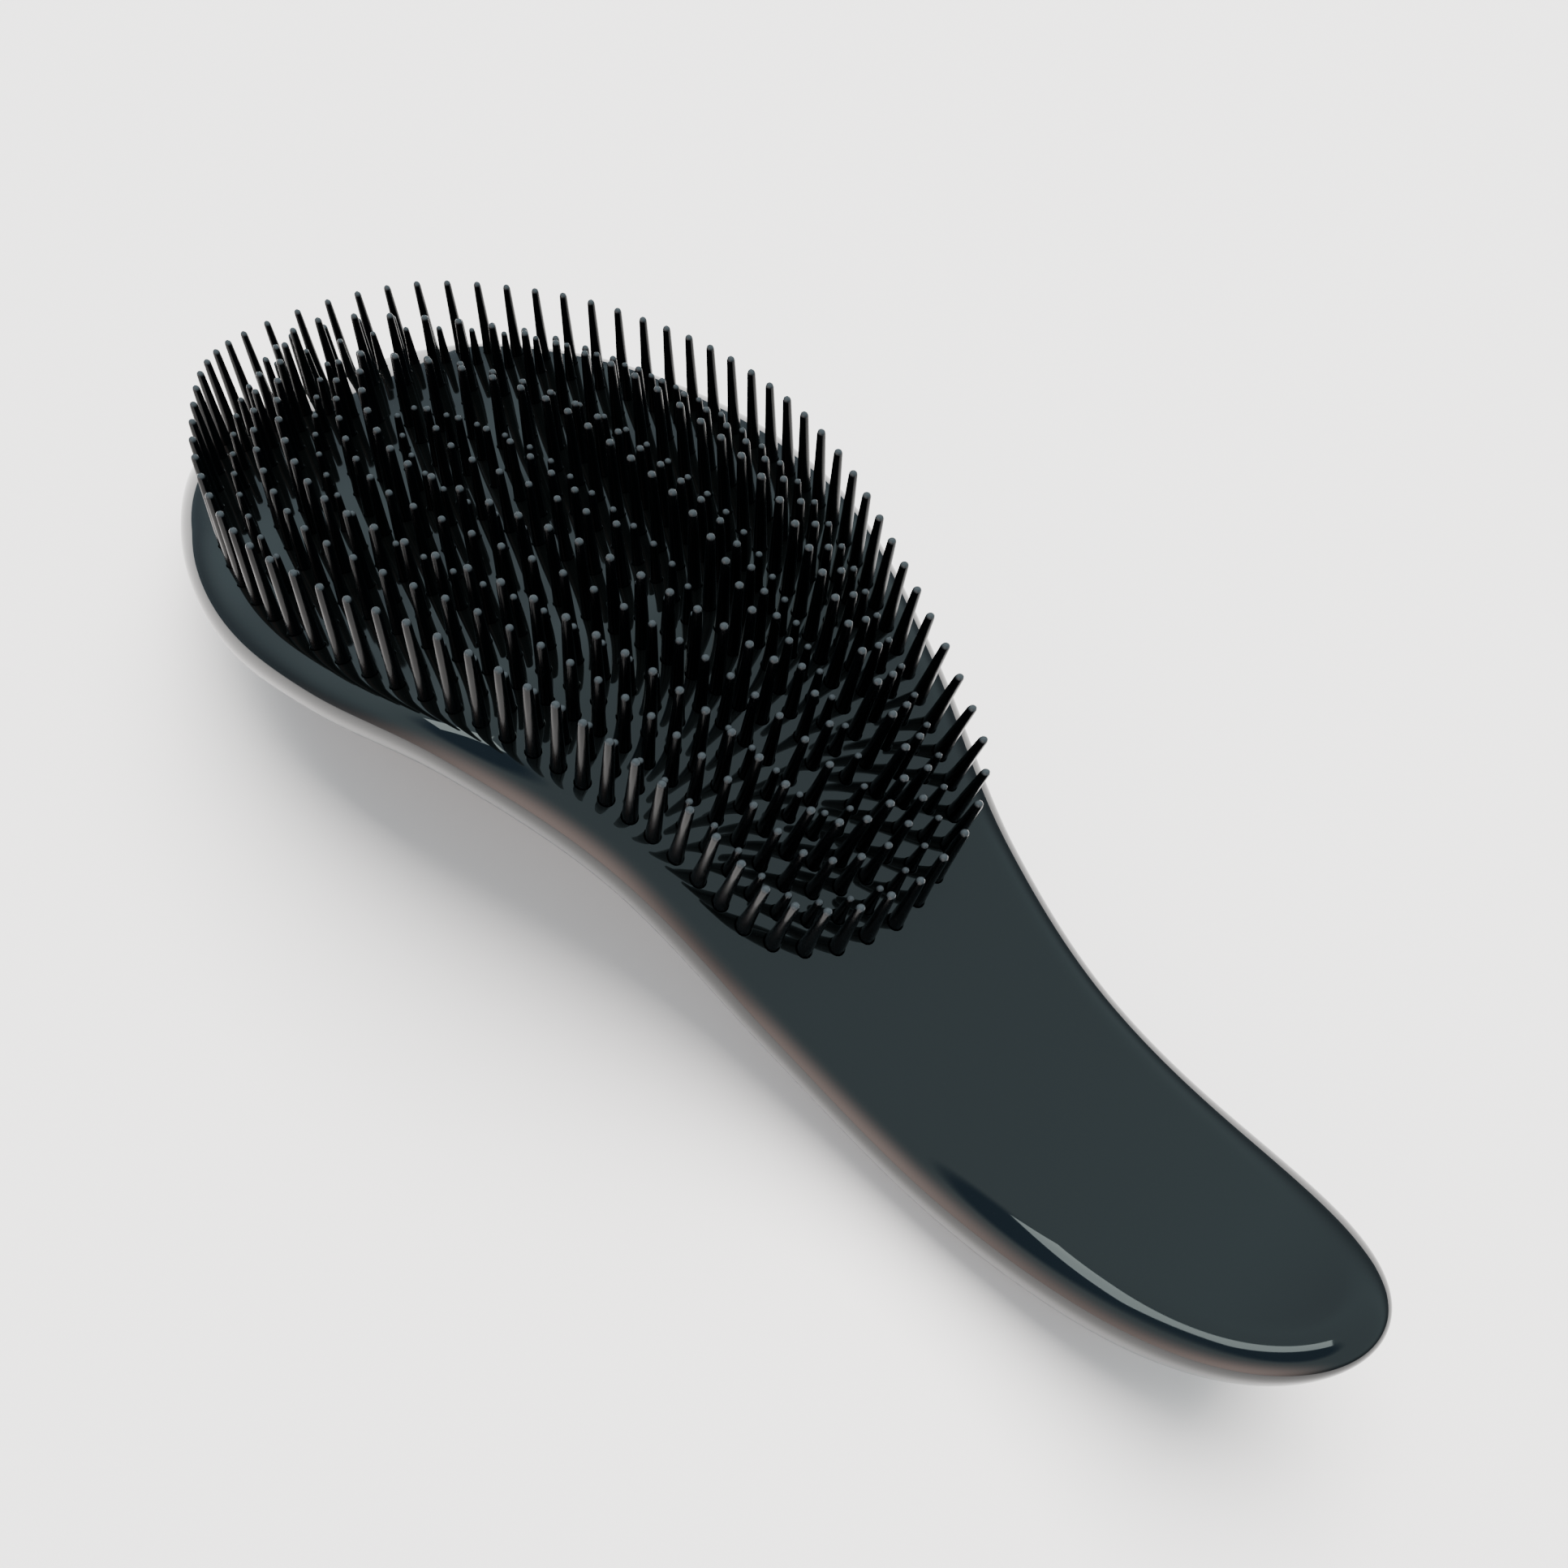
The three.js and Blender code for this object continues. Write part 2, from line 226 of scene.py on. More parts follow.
def loft_rings(name, rings):
    """Extrudes a ring of the outline through the given section, one ring after another.
    Each ring is a function from a turn to a point of that half of the section."""
    deselect()
    bpy.ops.mesh.primitive_circle_add(vertices=RING_POINTS, radius=LENGTH / 2)
    piece = bpy.context.object
    piece.name = name
    bpy.ops.object.mode_set(mode="EDIT")
    mesh = bmesh.from_edit_mesh(piece.data)
    turns = mesh.verts.layers.float.new("turn")
    for i, point in enumerate(mesh.verts):
        point[turns] = 2 * math.pi * i / RING_POINTS
    bmesh.update_edit_mesh(piece.data)
    for step, ring in enumerate(rings):
        if step > 0:
            bpy.ops.mesh.extrude_edges_move()
        mesh = bmesh.from_edit_mesh(piece.data)
        turns = mesh.verts.layers.float["turn"]
        for point in mesh.verts:
            if point.select:
                side = 1 if point[turns] <= math.pi else -1
                turn = point[turns] if side > 0 else 2 * math.pi - point[turns]
                x, y, z = ring(turn)
                point.co = (x, side * y, z)
        bmesh.update_edit_mesh(piece.data)
    bpy.ops.object.mode_set(mode="OBJECT")
    return piece


# %% [markdown]
# ## The section of the shells
# A section runs from the outline straight in to the spine. Over the top it is a flat
# face with a quarter of an ellipse for a rim. Underneath it is a dome. The inside of
# each shell is the same section, shrunk by the wall.

# %% Points of a section
def section_point(turn, along, rise):
    """`along` mm in from the outline, `rise` mm over the widest line there."""
    edge = outline(turn)
    inwards = spine(edge.x) - edge
    reach = inwards.length
    place = edge + inwards * (min(along, reach) / reach)
    return place.x, place.y, widest_height(place.x) + rise


def reach_at(turn):
    edge = outline(turn)
    return (spine(edge.x) - edge).length


def face_ring(share, inset=0):
    """share 0 is where the rim meets the face, 1 is the spine."""
    def ring(turn):
        return section_point(turn, mix(RIM_REACH, reach_at(turn), share), RIM_HEIGHT - inset)
    return ring


def rim_ring(share, inset=0):
    """share 0 is the widest line, 1 is where the rim meets the face."""
    angle = math.pi / 2 * share

    def ring(turn):
        along = inset + (RIM_REACH - inset) * (1 - math.cos(angle))
        return section_point(turn, along, (RIM_HEIGHT - inset) * math.sin(angle))
    return ring


def dome_ring(share, inset=0, over=0):
    """share 0 is `over` mm under the widest line, 1 is the crown of the back."""
    def ring(turn):
        depth = back_depth(outline(turn).x) - inset
        start = math.asin(min(1, (over / depth) ** (BACK_ROUNDNESS / 2)))
        angle = mix(start, math.pi / 2, share)
        out = max(math.cos(angle), 0) ** (2 / BACK_ROUNDNESS)
        fall = math.sin(angle) ** (2 / BACK_ROUNDNESS)
        along = mix(reach_at(turn), inset, out) if share < 1 else reach_at(turn)
        return section_point(turn, along, -depth * fall)
    return ring


def wall_ring(drop, inset=0):
    """A ring on the back's side wall, `drop` mm under the widest line."""
    return dome_ring(0, inset, drop)


def steps(count, first=0, last=1):
    return [mix(first, last, i / count) for i in range(count + 1)]


# %% [markdown]
# ## The face shell
# The front of the brush is one moulding: the flat face that carries the pins, the
# rounded rim, and a side wall down to the seam. The ring of the outline starts at the
# spine of the face, runs out over the rim and down to the seam, turns in by the wall
# and comes back along the inside, so the shell closes on itself.

# %% Face shell
EDGE_ROUND = 0.15
SEAM_FRONT = SEAM_DROP - GAP / 2
FACE_RINGS = 9
RIM_RINGS = 12
INNER_RIM_RINGS = 4
SIDE_RINGS = 4
DOME_RINGS = 16


def make_face_shell():
    outside = [face_ring(share) for share in steps(FACE_RINGS, 1, 0)]
    outside += [rim_ring(share) for share in steps(RIM_RINGS, 1, 0)[1:]]
    outside += [wall_ring(drop) for drop in steps(SIDE_RINGS, 0, SEAM_FRONT - EDGE_ROUND)[1:]]
    edge = [wall_ring(SEAM_FRONT, EDGE_ROUND), wall_ring(SEAM_FRONT, WALL)]
    inside = [rim_ring(share, WALL) for share in steps(INNER_RIM_RINGS)]
    inside += [face_ring(share, WALL) for share in steps(FACE_RINGS)[1:]]
    return loft_rings("face_shell", outside + edge + inside)


face_shell = make_face_shell()
finish_mesh(face_shell)
print("face shell", len(face_shell.data.polygons), "faces")

# %% [markdown]
# ## The back cover
# The domed back is the second moulding. It carries a thin lip that slips inside the
# face shell and lines the two up. The ring starts at the crown, comes up to the seam,
# steps in over the lip and returns along the inside. A hair line is left at the seam.

# %% Back cover
SEAM_BACK = SEAM_DROP + GAP / 2
LIP_OUT = WALL + GAP
LIP_IN = LIP_OUT + LIP_WALL
LIP_FOOT = SEAM_DROP + LIP_WALL


def make_back_cover():
    low_edge = SEAM_BACK + EDGE_ROUND
    outside = [dome_ring(share, 0, low_edge) for share in steps(DOME_RINGS, 1, 0)]
    lip = [wall_ring(SEAM_BACK, EDGE_ROUND), wall_ring(SEAM_BACK, LIP_OUT)]
    lip += [wall_ring(SEAM_DROP - LIP_RISE, LIP_OUT), wall_ring(SEAM_DROP - LIP_RISE, LIP_IN)]
    lip += [wall_ring(LIP_FOOT, LIP_IN)]
    inside = [dome_ring(share, WALL, LIP_FOOT + LIP_WALL) for share in steps(DOME_RINGS)]
    return loft_rings("back_cover", outside + lip + inside)


back_cover = make_back_cover()
finish_mesh(back_cover)
print("back cover", len(back_cover.data.polygons), "faces")

# %% [markdown]
# ## Where the pins stand
# The pins stand in closed rows that follow the edge of the head, one inside the other.
# Going inwards the rows repeat: long pins, short pins, middle pins. The long ones reach
# the scalp and the short ones work on the surface of the hair. Pins stand closer at the
# neck than in the head.

# %% Rows of pins
ROW_INSET = 5.1
NECK_ROW_PITCH = 2.8
HEAD_ROW_PITCH = 3.3
FIELD_START = 56
END_ROW_PITCH = 2.4
END_ROUNDNESS = 0.65
NECK_PITCH = 2.75
HEAD_PITCH = 4.9
OUTER_PITCH = 4.4
END_PITCH = 3.5
NECK_X = 78
HEAD_X = 114
END_X = 66
MIN_SPACING = 2.1
CURVE_STEPS = 240
PIN_TIERS = [
    {"name": "long", "length": 10.25, "foot": 0.8, "tip": 0.48},
    {"name": "short", "length": 5.2, "foot": 0.68, "tip": 0.4},
    {"name": "middle", "length": 8.3, "foot": 0.75, "tip": 0.45},
]


def head_share(x):
    return ease(x, NECK_X, HEAD_X)


def pin_pitch(x, row):
    neck = mix(END_PITCH, NECK_PITCH, ease(x, FIELD_START, END_X))
    return mix(neck, OUTER_PITCH if row == 0 else HEAD_PITCH, head_share(x))


def row_side(row):
    """One side of a closed row, from its neck end to its head end."""
    start = FIELD_START + row * END_ROW_PITCH
    side = []
    for i in range(1, CURVE_STEPS):
        turn = math.pi * i / CURVE_STEPS
        place = outline(turn)
        along = (outline(turn + math.pi / CURVE_STEPS) - place).normalized()
        row_pitch = mix(NECK_ROW_PITCH, HEAD_ROW_PITCH, head_share(place.x))
        place = place + Vector((along.y, -along.x)) * (ROW_INSET + row * row_pitch)
        if place.x > start and place.y > 0:
            side.append(place)
        elif side:
            break
    if len(side) < 2:
        return []
    round_end = END_ROUNDNESS * side[0].y
    for place in side:
        short = max(0, 1 - (place.x - start) / round_end)
        place.y *= math.sqrt(1 - short ** 2)
    first = side[0].x if side[0].x - start > NECK_ROW_PITCH else start
    return [Vector((first, 0)), *side, Vector((side[-1].x, 0))]


def pin_places():
    """Every pin as (x, y, tier), row by row from the edge of the head inwards."""
    pins = []
    row = 0
    while row_side(row):
        side = row_side(row)
        loop = side + [Vector((p.x, -p.y)) for p in reversed(side[1:-1])] + [side[0]]
        lengths = [0]
        for a, b in zip(loop, loop[1:]):
            lengths.append(lengths[-1] + (b - a).length / pin_pitch((a.x + b.x) / 2, row))
        count = 2 * max(1, math.floor(lengths[-1] / 2 + 0.5))
        stagger = 0 if row % 2 == 0 else 0.5
        for pin in range(count):
            target = (pin + stagger) / count * lengths[-1]
            i = next(k for k in range(1, len(lengths)) if lengths[k] >= target)
            share = (target - lengths[i - 1]) / (lengths[i] - lengths[i - 1])
            place = loop[i - 1].lerp(loop[i], share)
            if all((other[0] - place).length >= MIN_SPACING for other in pins):
                pins.append((place, row % len(PIN_TIERS)))
        row += 1
    return pins


places = pin_places()
print(len(places), "pins in", sum(1 for r in range(40) if row_side(r)), "rows")

# %% [markdown]
# ## Standing things on the face
# The face slopes along the brush, and the pins fan out a little with it: each leans by
# a share of the slope it stands on. Near its foot a copy is also sheared along the
# slope, so its ring at the face lies flush on the face all round.

# %% Copying along the rows
SLOPE_STEP = 0.05
PIN_LEAN = 0.4    # pins lean along the brush by this share of the face's slope
SHEAR_FADE = 2.0  # mm over the face where a foot's shear along the slope has faded out


def stand_copies(model, chosen, name):
    """Copies the model onto each chosen place and joins the copies into one piece."""
    deselect()
    copies = []
    for place, _ in chosen:
        copy = bpy.data.objects.new(name, model.data.copy())
        bpy.context.collection.objects.link(copy)
        ahead = face_height(place.x + SLOPE_STEP)
        slope = (ahead - face_height(place.x - SLOPE_STEP)) / (2 * SLOPE_STEP)
        foot = Vector((place.x, place.y, face_height(place.x)))
        for point in copy.data.vertices:
            x, y, z = point.co
            near_face = max(0, 1 - max(z, 0) / SHEAR_FADE)
            x -= PIN_LEAN * slope * z
            point.co = foot + Vector((x, y, z + near_face * slope * x))
        copies.append(copy)
    for copy in copies:
        copy.select_set(True)
    bpy.context.view_layer.objects.active = copies[0]
    bpy.ops.object.join()
    joined = bpy.context.object
    joined.name = name
    return joined


def extruded_post(name, sides, profile):
    """A round post from a profile of (radius, height), one extrusion for each step."""
    deselect()
    radius, height = profile[0]
    bpy.ops.mesh.primitive_circle_add(vertices=sides, radius=radius, fill_type="NGON")
    post = bpy.context.object
    post.name = name
    bpy.ops.object.mode_set(mode="EDIT")
    bpy.ops.mesh.select_all(action="SELECT")
    bpy.ops.transform.translate(value=(0, 0, height))
    for next_radius, next_height in profile[1:]:
        bpy.ops.mesh.extrude_region_move(
            TRANSFORM_OT_translate={"value": (0, 0, next_height - height)})
        grow = next_radius / radius
        bpy.ops.transform.resize(value=(grow, grow, 1))
        radius, height = next_radius, next_height
    bpy.ops.mesh.select_all(action="SELECT")
    bpy.ops.mesh.normals_make_consistent(inside=False)
    bpy.ops.object.mode_set(mode="OBJECT")
    return post


# %% [markdown]
# ## The holes in the face
# Each pin comes through its own round hole with a hair of clearance, and a tiny chamfer
# breaks the mouth of the hole, which draws a thin light line at the foot of each pin.
# One cutter per length of pin is modelled, copied along the rows and taken out of the
# face with a Boolean modifier. A whole copy of the face is kept for its shading.

# %% Holes
HOLE_CLEARANCE = 0.05
CHAMFER = 0.06
CUT_OVER = 0.04  # the cutter's mouth stands this far over the face
CUTTER_SIDES = 16


def cut_holes():
    for tier, sizes in enumerate(PIN_TIERS):
        hole = sizes["foot"] + HOLE_CLEARANCE
        profile = [(hole, -2 * WALL), (hole, -CHAMFER), (hole + CHAMFER + CUT_OVER, CUT_OVER)]
        cutter = extruded_post("hole_cutter", CUTTER_SIDES, profile)
        chosen = [pin for pin in places if pin[1] == tier]
        cutters = stand_copies(cutter, chosen, "hole_cutters")
        apply_modifier(face_shell, "BOOLEAN", operation="DIFFERENCE", object=cutters,
                       solver="MANIFOLD")
        bpy.data.objects.remove(cutters)
        bpy.data.objects.remove(cutter)


whole_face = face_shell.copy()
whole_face.data = face_shell.data.copy()
bpy.context.collection.objects.link(whole_face)
cut_holes()
print("face shell with holes", len(face_shell.data.polygons), "faces")

# %% [markdown]
# ## The bristle mat
# All the pins are moulded in one piece with a thin mat of nylon that lies behind the
# face. A pin tapers all the way up from its foot and ends in a smooth dome, so that
# it doesn't scratch. One pin of each length is modelled from a circle,
# extruded and scaled step by step, and copied to every place of its rows.

# %% Mat and pins
PIN_SIDES = 10
SHANK_STEPS = 3
DOME_ANGLES = (0.6, 1.15)  # rings of the domed tip, in radians up from its edge
MAT_START = 54.5
MAT_CELLS = (90, 8)
MAT_MIN_HALF = 0.4
PAINTED_HIGHLIGHT_TIP = "painted_highlight_tip"      # point attribute, 1 on the dome of a pin


def make_mat():
    deselect()
    along, across = MAT_CELLS
    bpy.ops.mesh.primitive_grid_add(x_subdivisions=along, y_subdivisions=across, size=2)
    mat = bpy.context.object
    mat.name = "pin_mat"
    last = LENGTH - LIP_OUT
    for point in mat.data.vertices:
        x = mix(MAT_START, last, (point.co.x + 1) / 2)
        half = outline(math.acos(1 - 2 * x / LENGTH)).y - LIP_OUT
        half = max(half, MAT_MIN_HALF)
        point.co = (x, point.co.y * half, face_height(x) - WALL - MAT_GAP)
    apply_modifier(mat, "SOLIDIFY", thickness=MAT_THICKNESS, offset=-1)
    return mat


def make_pins(tier, sizes):
    foot, tip, length = sizes["foot"], sizes["tip"], sizes["length"]
    root = -(WALL + MAT_GAP + MAT_THICKNESS / 2)
    top = length - tip
    profile = [(foot, root)]
    profile += [(mix(foot, tip, share), mix(0, top, share)) for share in steps(SHANK_STEPS)]
    profile += [(tip * math.cos(a), top + tip * math.sin(a)) for a in DOME_ANGLES]
    pin = extruded_post("pin", PIN_SIDES, profile)
    # The domes are marked for a painted highlight: a paler grey that stands in for the light on
    # each tip.
    tip_shine = pin.data.attributes.new(PAINTED_HIGHLIGHT_TIP, "FLOAT", "POINT")
    for point, value in zip(pin.data.vertices, tip_shine.data):
        value.value = 1 if point.co.z > length - tip / 2 else 0
    chosen = [place for place in places if place[1] == tier]
    pins = stand_copies(pin, chosen, sizes["name"] + "_pins")
    bpy.data.objects.remove(pin)
    return pins


PIN_SMOOTH_DEGREES = 50
pin_mat = make_mat()
pin_sets = [make_pins(tier, sizes) for tier, sizes in enumerate(PIN_TIERS)]
only(pin_mat)
for pins in pin_sets:
    pins.select_set(True)
bpy.ops.object.join()
bpy.ops.object.shade_smooth_by_angle(angle=math.radians(PIN_SMOOTH_DEGREES))
print("mat and pins", len(pin_mat.data.polygons), "faces")


# %% [markdown]
# ## A true mirror round the holes
# The face is a mirror, so its shading has to stay as smooth as before the holes were
# cut. The Boolean leaves many-sided faces between the holes, and they would bend the
# reflections. A Data Transfer modifier copies the shading normals back from the whole
# face, which was kept for this, onto all points of the outer skin.

# %% Normals from the whole face
SKIN = "outer_skin"
SKIN_DEPTH = 0.05


def restore_normals(piece, whole):
    skin = [v.index for v in piece.data.vertices
            if v.co.z > face_height(v.co.x) - SKIN_DEPTH]
    piece.vertex_groups.new(name=SKIN).add(skin, 1, "REPLACE")
    apply_modifier(piece, "DATA_TRANSFER", object=whole, use_loop_data=True,
                   data_types_loops={"CUSTOM_NORMAL"}, loop_mapping="POLYINTERP_NEAREST",
                   vertex_group=SKIN)
    piece.vertex_groups.remove(piece.vertex_groups[SKIN])


restore_normals(face_shell, whole_face)
bpy.data.objects.remove(whole_face)
print("normals copied to the face")

# %% [markdown]
# ## Down on the table
# The pieces turn to the brush's resting lean. The back has two small flats where it
# rests, so whatever of the shells would reach under the table is sliced off with Bisect,
# and the cut is filled.

# %% Lay the brush down
REST_LEVEL = 0.00001


def slice_at_table(piece):
    only(piece)
    bpy.ops.object.mode_set(mode="EDIT")
    bpy.ops.mesh.select_all(action="SELECT")
    bpy.ops.mesh.bisect(plane_co=(0, 0, REST_LEVEL), plane_no=(0, 0, 1), use_fill=True,
                        clear_inner=True)
    bpy.ops.object.mode_set(mode="OBJECT")


for piece in (face_shell, back_cover, pin_mat):
    lay_down(piece)
for shell in (face_shell, back_cover):
    slice_at_table(shell)
print("lowest point of the back", round(min(v.co.z for v in back_cover.data.vertices), 5), "m")

# %% [markdown]
# ## Colours and nodes
# Colours are written as sRGB hex, the way a paint chart gives them, and turned to the
# linear values that shaders work in. One helper adds a node, sets its values and links
# its inputs.

# %% Node helpers
def linear(hex_colour):
    def channel(value):
        return value / 12.92 if value <= 0.04045 else ((value + 0.055) / 1.055) ** 2.4
    parts = [int(hex_colour[i:i + 2], 16) / 255 for i in (1, 3, 5)]
    return (*[channel(part) for part in parts], 1)


def add_node(tree, kind, values=None, links=None, **settings):
    node = tree.nodes.new(kind)
    for name, value in settings.items():
        setattr(node, name, value)
    for name, value in (values or {}).items():
        node.inputs[name].default_value = value
    for name, source in (links or {}).items():
        tree.links.new(source, node.inputs[name])
    return node


def new_material(name):
    material = bpy.data.materials.new(name)
    material.use_nodes = True
    material.node_tree.nodes.clear()
    return material, material.node_tree


def give(piece, material):
    piece.data.materials.clear()
    piece.data.materials.append(material)


# %% [markdown]
# ## Gloss black ABS
# The shells are ABS moulded in a polished tool, deep black with the faintest cold tint.
# What the eye sees is almost only the room in its surface. A perfect mirror looks like
# glass, so real handling is added: a slow faint ripple, smudges that dull the gloss a
# little, hairlines much finer than a millimetre, and a few specks of dust.

# %% ABS
ABS_IOR = 1.54
ABS_BLACK = "#030404"
DUST_GREY = "#59605f"
DUST_SHARE = 0.93          # of the dust cells are left clean
ABS_ROUGHNESS = (0.035, 0.085)
RIPPLE_MM = 9
SMUDGE_MM = 22
DUST_MM = 2.6
HAIRLINE_MM = 1.4


def per_metre(size_mm):
    """Scale of a noise whose features are this size, on coordinates in metres."""
    return 1 / (size_mm * MM)


def make_gloss_abs():
    material, tree = new_material("gloss_black_ABS")
    place = add_node(tree, "ShaderNodeTexCoord").outputs["Object"]
    smudge = add_node(tree, "ShaderNodeTexNoise", {"Scale": per_metre(SMUDGE_MM), "Detail": 5.0},
                      {"Vector": place})
    dull = add_node(tree, "ShaderNodeMapRange",
                    {"From Min": 0.45, "From Max": 0.75,
                     "To Min": ABS_ROUGHNESS[0], "To Max": ABS_ROUGHNESS[1]},
                    {"Value": smudge.outputs["Fac"]})
    stretch = add_node(tree, "ShaderNodeMapping", {"Scale": (0.06, 1, 1), "Rotation": (0, 0, 0.3)},
                       {"Vector": place})
    hairline = add_node(tree, "ShaderNodeTexNoise",
                        {"Scale": per_metre(HAIRLINE_MM), "Detail": 2.0},
                        {"Vector": stretch.outputs["Vector"]})
    ripple = add_node(tree, "ShaderNodeTexNoise", {"Scale": per_metre(RIPPLE_MM), "Detail": 1.0},
                      {"Vector": place})
    scratched = add_node(tree, "ShaderNodeBump", {"Strength": 0.02, "Distance": 0.00002},
                         {"Height": hairline.outputs["Fac"]})
    rippled = add_node(tree, "ShaderNodeBump", {"Strength": 0.06, "Distance": 0.0002},
                       {"Height": ripple.outputs["Fac"], "Normal": scratched.outputs["Normal"]})
    dust = add_node(tree, "ShaderNodeTexVoronoi", {"Scale": per_metre(DUST_MM)},
                    {"Vector": place})
    speck = add_node(tree, "ShaderNodeMapRange",
                     {"From Min": 0.02, "From Max": 0.045, "To Min": 1.0, "To Max": 0.0},
                     {"Value": dust.outputs["Distance"]})
    rare = add_node(tree, "ShaderNodeMath", {1: DUST_SHARE}, {0: dust.outputs["Color"]},
                    operation="GREATER_THAN")
    shown = add_node(tree, "ShaderNodeMath", None,
                     {0: speck.outputs["Result"], 1: rare.outputs[0]}, operation="MULTIPLY")
    colour = add_node(tree, "ShaderNodeMix",
                      {"A": linear(ABS_BLACK), "B": linear(DUST_GREY)},
                      {"Factor": shown.outputs[0]}, data_type="RGBA")
    plastic = add_node(tree, "ShaderNodeBsdfPrincipled", {"IOR": ABS_IOR},
                       {"Base Color": colour.outputs["Result"],
                        "Roughness": dull.outputs["Result"],
                        "Normal": rippled.outputs["Normal"]})
    add_node(tree, "ShaderNodeOutputMaterial", None, {"Surface": plastic.outputs["BSDF"]})
    return material


gloss_abs = make_gloss_abs()
give(face_shell, gloss_abs)
give(back_cover, gloss_abs)
print("made", gloss_abs.name)

# %% [markdown]
# ## Black nylon
# The pins are nylon, moulded in a plain tool. Nylon is a touch softer in its gloss than
# the shells. A grain of a fifth of a millimetre keeps its highlights from looking like
# chrome. The domes of the tips are painted a paler grey, a painted highlight that stands in for
# the light caught on each tip.

# %% Nylon
NYLON_IOR = 1.53
NYLON_SPECULAR = 0.18
NYLON_ROUGHNESS = (0.16, 0.25)
NYLON_BLACK = "#020304"
# Paler grey painted on the domes of the tips as a painted highlight.
TIP_HIGHLIGHT_GREY = "#2b3033"
GRAIN_MM = 0.2


def make_nylon():
    material, tree = new_material("black_nylon")
    place = add_node(tree, "ShaderNodeTexCoord").outputs["Object"]
    grain = add_node(tree, "ShaderNodeTexNoise", {"Scale": per_metre(GRAIN_MM), "Detail": 2.0},
                     {"Vector": place})
    patch = add_node(tree, "ShaderNodeTexNoise", {"Scale": per_metre(RIPPLE_MM), "Detail": 2.0},
                     {"Vector": place})
    dull = add_node(tree, "ShaderNodeMapRange",
                    {"From Min": 0.35, "From Max": 0.65,
                     "To Min": NYLON_ROUGHNESS[0], "To Max": NYLON_ROUGHNESS[1]},
                    {"Value": patch.outputs["Fac"]})
    bumped = add_node(tree, "ShaderNodeBump", {"Strength": 0.15, "Distance": 0.00001},
                      {"Height": grain.outputs["Fac"]})
    # Painted highlight: the domes of the tips take the paler grey.
    tip_shine = add_node(tree, "ShaderNodeAttribute", attribute_name=PAINTED_HIGHLIGHT_TIP)
    colour = add_node(tree, "ShaderNodeMix",
                      {"A": linear(NYLON_BLACK), "B": linear(TIP_HIGHLIGHT_GREY)},
                      {"Factor": tip_shine.outputs["Fac"]}, data_type="RGBA")
    plastic = add_node(tree, "ShaderNodeBsdfPrincipled",
                       {"IOR": NYLON_IOR, "Specular IOR Level": NYLON_SPECULAR},
                       {"Base Color": colour.outputs["Result"],
                        "Roughness": dull.outputs["Result"],
                        "Normal": bumped.outputs["Normal"]})
    add_node(tree, "ShaderNodeOutputMaterial", None, {"Surface": plastic.outputs["BSDF"]})
    return material


nylon = make_nylon()
give(pin_mat, nylon)
print("made", nylon.name)

# %% [markdown]
# ## The table
# A plain pale table, large enough that its edge shows only as a faint line in the rim.

# %% Table
TABLE_SIZE = 3.0
TABLE_TONES = ("#f6f1ef", "#fbf7f5")
TONE_SCALE = 6.0


def make_table():
    deselect()
    bpy.ops.mesh.primitive_grid_add(x_subdivisions=6, y_subdivisions=6, size=TABLE_SIZE)
    table = bpy.context.object
    table.name = "table"
    material, tree = new_material("pale_painted_table")
    place = add_node(tree, "ShaderNodeTexCoord").outputs["Object"]
    tone = add_node(tree, "ShaderNodeTexNoise", {"Scale": TONE_SCALE, "Detail": 3.0},
                    {"Vector": place})
    colour = add_node(tree, "ShaderNodeMix",
                      {"A": linear(TABLE_TONES[0]), "B": linear(TABLE_TONES[1])},
                      {"Factor": tone.outputs["Fac"]}, data_type="RGBA")
    paint = add_node(tree, "ShaderNodeBsdfPrincipled", {"Roughness": 0.7},
                     {"Base Color": colour.outputs["Result"]})
    add_node(tree, "ShaderNodeOutputMaterial", None, {"Surface": paint.outputs["BSDF"]})
    give(table, material)
    return table


table = make_table()
print("table", TABLE_SIZE, "m square")

# %% [markdown]
# ## The room and the lights
# A black mirror shows the room, so the room is part of the look. The ceiling is a cool
# grey, the walls darken towards the table, and one corner above the brush is dim. The
# near side glows warm and low, which is what the rim picks up. A big soft light hangs
# overhead for the table and isn't mirrored, and a narrow window beyond the head draws
# the bright line along the rim of the handle. Brightness is in units of radiance.

# %% Room
def direction(azimuth, elevation):
    a, e = math.radians(azimuth), math.radians(elevation)
    return Vector((math.cos(a) * math.cos(e), math.sin(a) * math.cos(e), math.sin(e)))


WALL_GLOW = (0.25, 0.32, 0.37, 1)
CEILING_GLOW = (0.74, 0.96, 1.04, 1)
CEILING_FADE = (0.1, 0.55)   # height of the look where walls end and ceiling is full
WARM_SIDE = (98, 8)          # azimuth and elevation in degrees
WARM_GLOW = (4.0, 3.2, 2.95, 1)
WARM_REACH = 0.42            # cosine of the angle where the warm glow has died away
WARM_POWER = 3.0
DIM_SIDE = (27, 62)
DIM_GLOW = (0.2, 0.34, 0.5, 1)
DIM_FADE = (0.9, 0.97)       # cosines of the angles where the dim corner starts and is full


